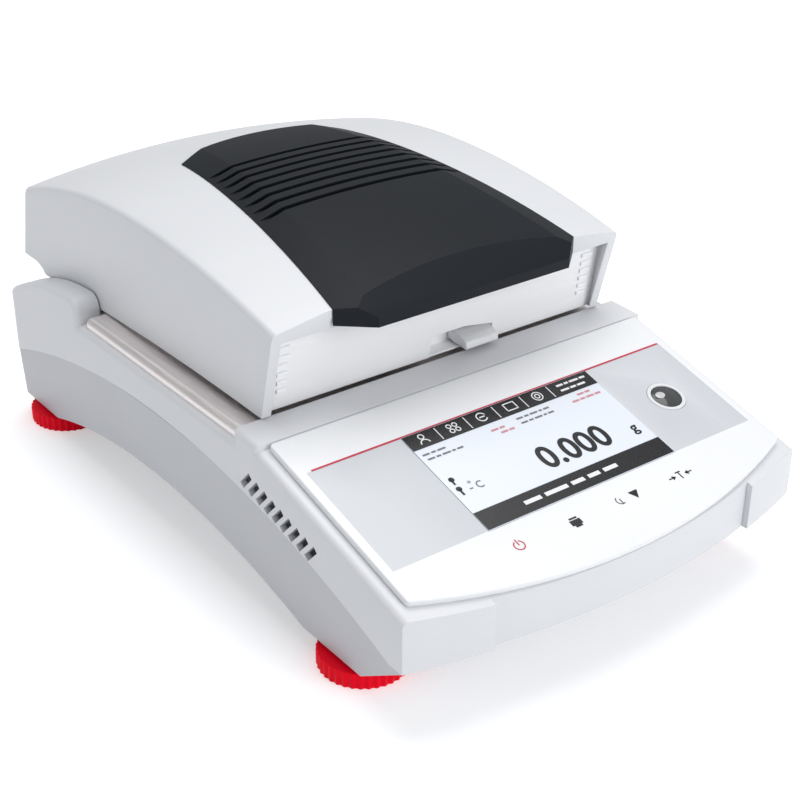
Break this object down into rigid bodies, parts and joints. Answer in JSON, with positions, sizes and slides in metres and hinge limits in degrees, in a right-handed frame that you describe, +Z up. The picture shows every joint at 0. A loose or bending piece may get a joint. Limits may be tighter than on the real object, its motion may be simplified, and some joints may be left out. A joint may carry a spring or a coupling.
{
  "type": "moisture analyzer",
  "caption": "Bench halogen moisture analyzer: arched housing with a sloping touch panel, round weighing chamber, hinged heated lid with a ribbed vent cover, levelling feet.",
  "frame": {"origin": "bottom centre of the object's box, on the surface it stands on", "axes": "+Z up, front with the control panel faces -Y, +X to the right seen from the front; lid shut at rest"},
  "size_m": [0.2104, 0.342, 0.1496],
  "materials": {
    "white_moulding": "fine satin off-white",
    "lid_moulding": "fine satin off-white",
    "black_cover": "satin blue-black",
    "panel_film": "light grey printed film",
    "display_glass": "flat clear cover",
    "display_black": "matt black",
    "circuit_board": "green solder mask",
    "stainless": "brushed",
    "bright_steel": "bright",
    "aluminium_part": "machined",
    "pan_foil": "thin pressed sheet",
    "clear_glass": "clear",
    "level_liquid": "tinted liquid",
    "red_foot": "moulded red",
    "brass_insert": "turned",
    "black_plastic": "moulded black",
    "ceramic": "fired white",
    "grip_plastic": "satin off-white"
  },
  "bodies": {
    "base": {"upper_housing": "white_moulding", "lower_housing": "white_moulding", "control_panel": "panel_film", "touch_screen": "display_glass", "display_module": "display_black", "display_board": "circuit_board", "level_bezel": "bright_steel", "level_vial": "level_liquid", "chamber_tray": "stainless", "chamber_well": "stainless", "draft_shield": "stainless", "load_cell": "aluminium_part", "load_cell_base": "aluminium_part", "main_board": "circuit_board", "power_supply": "circuit_board", "mains_inlet": "black_plastic", "inlet_pins": "bright_steel", "serial_port": "bright_steel", "usb_ports": "bright_steel", "hinge_plates": "bright_steel", "hinge_pins": "bright_steel", "housing_screws": "bright_steel", "foot_inserts": "brass_insert"},
    "lid": {"lid_hinge_lugs": "aluminium_part", "lid_shell": "lid_moulding", "vent_cover": "black_cover", "lid_front_panel": "lid_moulding", "lid_handle": "grip_plastic", "lid_liner": "stainless", "protective_glass": "clear_glass", "reflector": "bright_steel", "halogen_lamp": "clear_glass", "lamp_holders": "ceramic", "temperature_sensor": "bright_steel", "glass_clips": "bright_steel", "lid_screws": "bright_steel"},
    "pan_support": {"pan_support": "stainless"},
    "pan_handler": {"pan_handler": "black_plastic"},
    "sample_pan": {"sample_pan": "pan_foil"},
    "stud_front_left": {"foot_stud_front_left": "bright_steel"},
    "wheel_front_left": {"foot_wheel_front_left": "red_foot"},
    "stud_front_right": {"foot_stud_front_right": "bright_steel"},
    "wheel_front_right": {"foot_wheel_front_right": "red_foot"},
    "stud_rear_left": {"foot_stud_rear_left": "bright_steel"},
    "wheel_rear_left": {"foot_wheel_rear_left": "red_foot"},
    "stud_rear_right": {"foot_stud_rear_right": "bright_steel"},
    "wheel_rear_right": {"foot_wheel_rear_right": "red_foot"}
  },
  "joints": [
    {"name": "lid_hinge", "type": "hinge", "parent": "base", "child": "lid", "pos_m": [0, 0.148, 0.092], "axis": [-1, 0, 0], "range_deg": [0, 70]},
    {"name": "weighing_travel", "type": "slide", "parent": "base", "child": "pan_support", "axis": [0, 0, 1], "range_m": [-0.0005, 0], "stiffness_N_per_m": 3900, "springref_m": 0.00013},
    {"name": "handler_lift", "type": "slide", "parent": "pan_support", "child": "pan_handler", "axis": [0, 0, 1], "range_m": [0, 0.006]},
    {"name": "pan_lift", "type": "slide", "parent": "pan_handler", "child": "sample_pan", "axis": [0, 0, 1], "range_m": [0, 0.003]},
    {"name": "front_left_height", "type": "slide", "parent": "base", "child": "stud_front_left", "axis": [0, 0, -1], "range_m": [0, 0.00375]},
    {"name": "front_left_turn", "type": "hinge", "parent": "stud_front_left", "child": "wheel_front_left", "pos_m": [-0.086, -0.107, 0.004], "axis": [0, 0, 1], "range_deg": [0, 1080]},
    {"name": "front_right_height", "type": "slide", "parent": "base", "child": "stud_front_right", "axis": [0, 0, -1], "range_m": [0, 0.00375]},
    {"name": "front_right_turn", "type": "hinge", "parent": "stud_front_right", "child": "wheel_front_right", "pos_m": [0.086, -0.107, 0.004], "axis": [0, 0, 1], "range_deg": [0, 1080]},
    {"name": "rear_left_height", "type": "slide", "parent": "base", "child": "stud_rear_left", "axis": [0, 0, -1], "range_m": [0, 0.00375]},
    {"name": "rear_left_turn", "type": "hinge", "parent": "stud_rear_left", "child": "wheel_rear_left", "pos_m": [-0.086, 0.15, 0.004], "axis": [0, 0, 1], "range_deg": [0, 1080]},
    {"name": "rear_right_height", "type": "slide", "parent": "base", "child": "stud_rear_right", "axis": [0, 0, -1], "range_m": [0, 0.00375]},
    {"name": "rear_right_turn", "type": "hinge", "parent": "stud_rear_right", "child": "wheel_rear_right", "pos_m": [0.086, 0.15, 0.004], "axis": [0, 0, 1], "range_deg": [0, 1080]}
  ],
  "couplings": [
    {"joint": "front_left_turn", "follows": "front_left_height", "rad_per_m": 5026.4},
    {"joint": "front_right_turn", "follows": "front_right_height", "rad_per_m": 5026.4},
    {"joint": "rear_left_turn", "follows": "rear_left_height", "rad_per_m": 5026.4},
    {"joint": "rear_right_turn", "follows": "rear_right_height", "rad_per_m": 5026.4}
  ]
}
